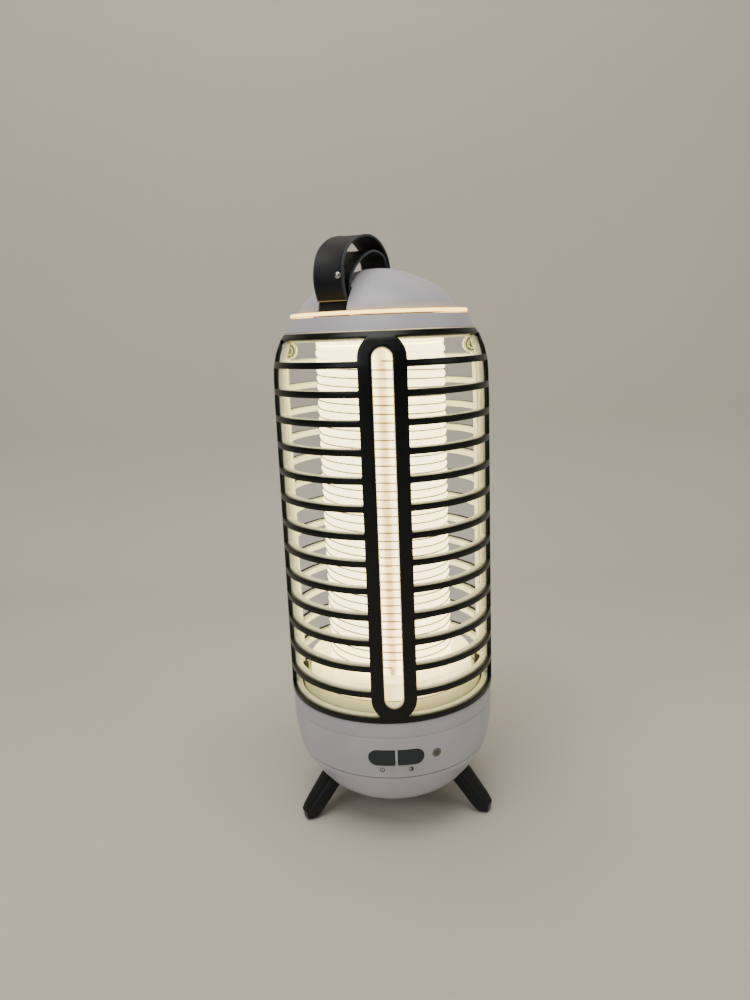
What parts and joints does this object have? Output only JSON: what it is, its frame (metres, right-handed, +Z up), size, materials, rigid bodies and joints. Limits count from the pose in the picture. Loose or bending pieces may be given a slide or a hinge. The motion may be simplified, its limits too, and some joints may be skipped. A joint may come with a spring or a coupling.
{
  "type": "electric bug zapper",
  "caption": "Standing cage lantern with a glowing wire-wound core, domed strap-topped cap, bowl base with push buttons, and folding splayed legs.",
  "frame": {"origin": "on the floor under the lantern's upright axis", "axes": "+Z up the axis, -Y towards the button side, +X to the right when facing the buttons"},
  "size_m": [0.105, 0.108, 0.2894],
  "materials": {
    "casing": "fine matte moulding",
    "cage_black": "semi-gloss moulding",
    "liner": "satin moulding",
    "light_ring": "frosted, lit",
    "core": "frosted, lit",
    "leds": "lit",
    "tray": "satin moulding",
    "wire": "drawn",
    "hardware": "plated",
    "webbing": "woven band",
    "black_plastic": "matte",
    "button_rubber": "matte",
    "leg_plastic": "satin moulding",
    "sensor": "clear smoked",
    "board": "solder mask",
    "inner_plastic": "plain moulding",
    "cell_wrap": "shrink wrap",
    "transformer": "taped winding",
    "capacitor": "sleeved can"
  },
  "bodies": {
    "base": {"base_shell": "casing", "base_deck": "inner_plastic", "bottom_cover": "casing", "chassis_plate": "inner_plastic", "base_screw_1": "hardware", "base_screw_2": "hardware", "base_screw_3": "hardware", "leg_pin_front_left": "hardware", "leg_pin_front_right": "hardware", "leg_pin_rear": "hardware", "sensor_lens": "sensor", "light_sensor": "sensor", "switch_board": "board", "tact_switch_power": "hardware", "tact_switch_auto": "hardware", "usb_socket": "hardware", "charge_board": "board", "main_board": "board", "hv_transformer": "transformer", "hv_capacitor": "capacitor", "battery_holder": "black_plastic", "battery_cell_1": "cell_wrap", "battery_cell_2": "cell_wrap", "insect_tray": "tray", "core_plate": "inner_plastic", "core_drum": "core", "core_tube": "core", "uv_led_post": "leds", "grid_wire_live": "wire", "grid_wire_ground": "wire", "terminal_live": "hardware", "terminal_ground": "hardware", "core_top_cap": "core", "top_contact_live": "hardware", "top_contact_ground": "hardware"},
    "twist_ring": {"twist_ring": "casing"},
    "head": {"outer_cage": "cage_black", "inner_cage": "liner", "dome_cap": "casing", "strap": "webbing", "strap_pin_front": "hardware", "strap_pin_rear": "hardware", "strap_bracket_front": "hardware", "strap_bracket_rear": "hardware", "strap_rivet": "hardware", "light_ring": "light_ring", "top_collar": "casing", "head_deck": "inner_plastic", "ring_led_board": "board"},
    "button_power": {"button_power": "button_rubber"},
    "button_auto": {"button_auto": "button_rubber"},
    "usb_cover": {"usb_cover": "button_rubber"},
    "leg_front_left": {"leg_front_left": "leg_plastic"},
    "leg_front_right": {"leg_front_right": "leg_plastic"},
    "leg_rear": {"leg_rear": "leg_plastic"}
  },
  "joints": [
    {"name": "head_twist", "type": "hinge", "parent": "base", "child": "twist_ring", "pos_m": [0, 0, 0.0568], "axis": [0, 0, 1], "range_deg": [0, 20]},
    {"name": "head_lift", "type": "slide", "parent": "twist_ring", "child": "head", "axis": [0, 0, 1], "range_m": [0, 0.19]},
    {"name": "button_power_press", "type": "slide", "parent": "base", "child": "button_power", "axis": [0, 1, 0], "range_m": [0, 0.0012], "stiffness_N_per_m": 500},
    {"name": "button_auto_press", "type": "slide", "parent": "base", "child": "button_auto", "axis": [0, 1, 0], "range_m": [0, 0.0012], "stiffness_N_per_m": 500},
    {"name": "usb_cover_flap", "type": "hinge", "parent": "base", "child": "usb_cover", "pos_m": [0, 0.0514, 0.0405], "axis": [-1, 0, 0], "range_deg": [0, 110]},
    {"name": "leg_front_left_fold", "type": "hinge", "parent": "base", "child": "leg_front_left", "pos_m": [-0.02893, -0.0167, 0.0249], "axis": [0.5, -0.866, 0], "range_deg": [0, 100]},
    {"name": "leg_front_right_fold", "type": "hinge", "parent": "base", "child": "leg_front_right", "pos_m": [0.02893, -0.0167, 0.0249], "axis": [0.5, 0.866, 0], "range_deg": [0, 100]},
    {"name": "leg_rear_fold", "type": "hinge", "parent": "base", "child": "leg_rear", "pos_m": [0, 0.0334, 0.0249], "axis": [-1, 0, 0], "range_deg": [0, 100]}
  ]
}
